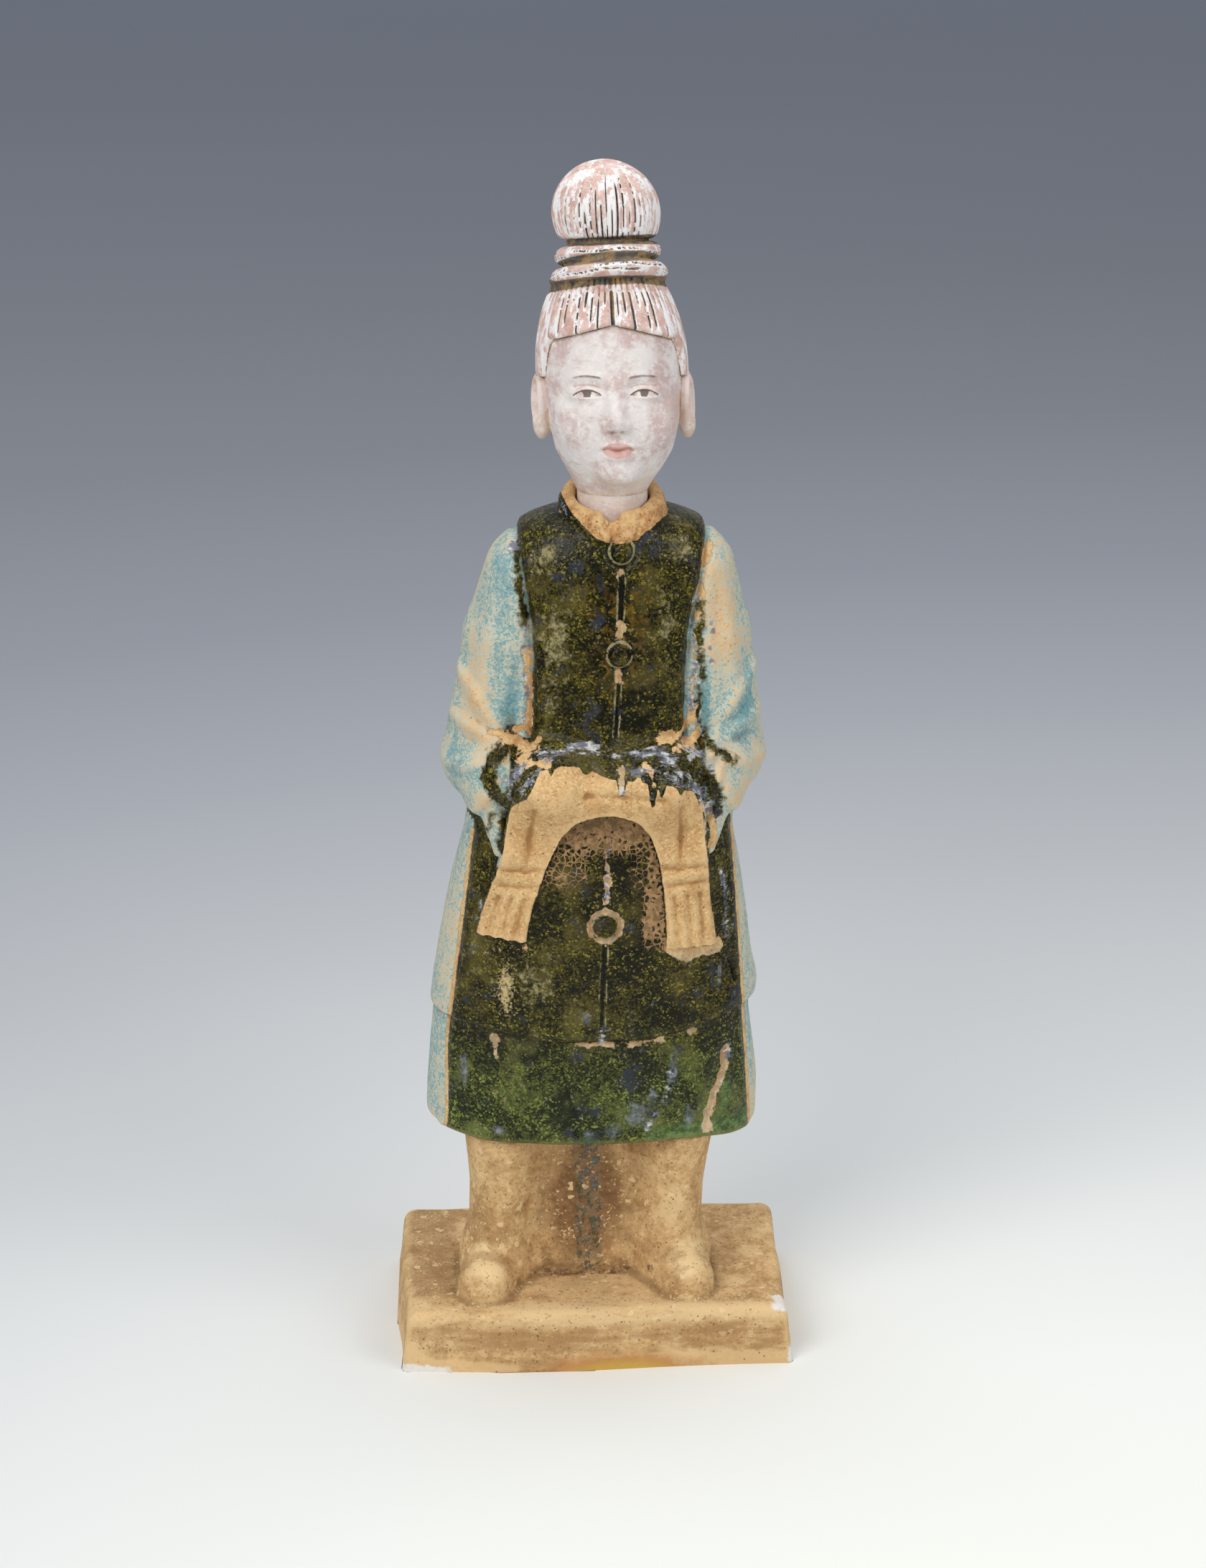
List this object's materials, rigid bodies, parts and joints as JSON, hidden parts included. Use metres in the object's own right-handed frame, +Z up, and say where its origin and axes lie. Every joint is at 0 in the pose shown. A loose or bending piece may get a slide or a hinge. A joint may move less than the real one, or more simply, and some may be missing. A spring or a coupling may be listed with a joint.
{
  "type": "tomb_figurine",
  "caption": "Glazed pottery tomb figurine of a standing robed attendant with a cloth over the hidden hands and a separate painted head, on a rectangular plinth",
  "frame": {"origin": "middle of the plinth's flat underside", "axes": "+Z is up from the underside to the hair knot; the figure faces -Y; +X is at the viewer's right, which is the figure's own left"},
  "size_m": [0.089, 0.0586, 0.2599],
  "materials": {
    "green_glaze": "mottled dark green lead glaze over buff pottery, with bare clay on the cloth, the collar, the legs and the plinth",
    "white_slip": "matt white slip with worn pink pigment over fired clay"
  },
  "bodies": {
    "root": {"glazed_body": "green_glaze", "painted_head": "white_slip"}
  },
  "joints": []
}
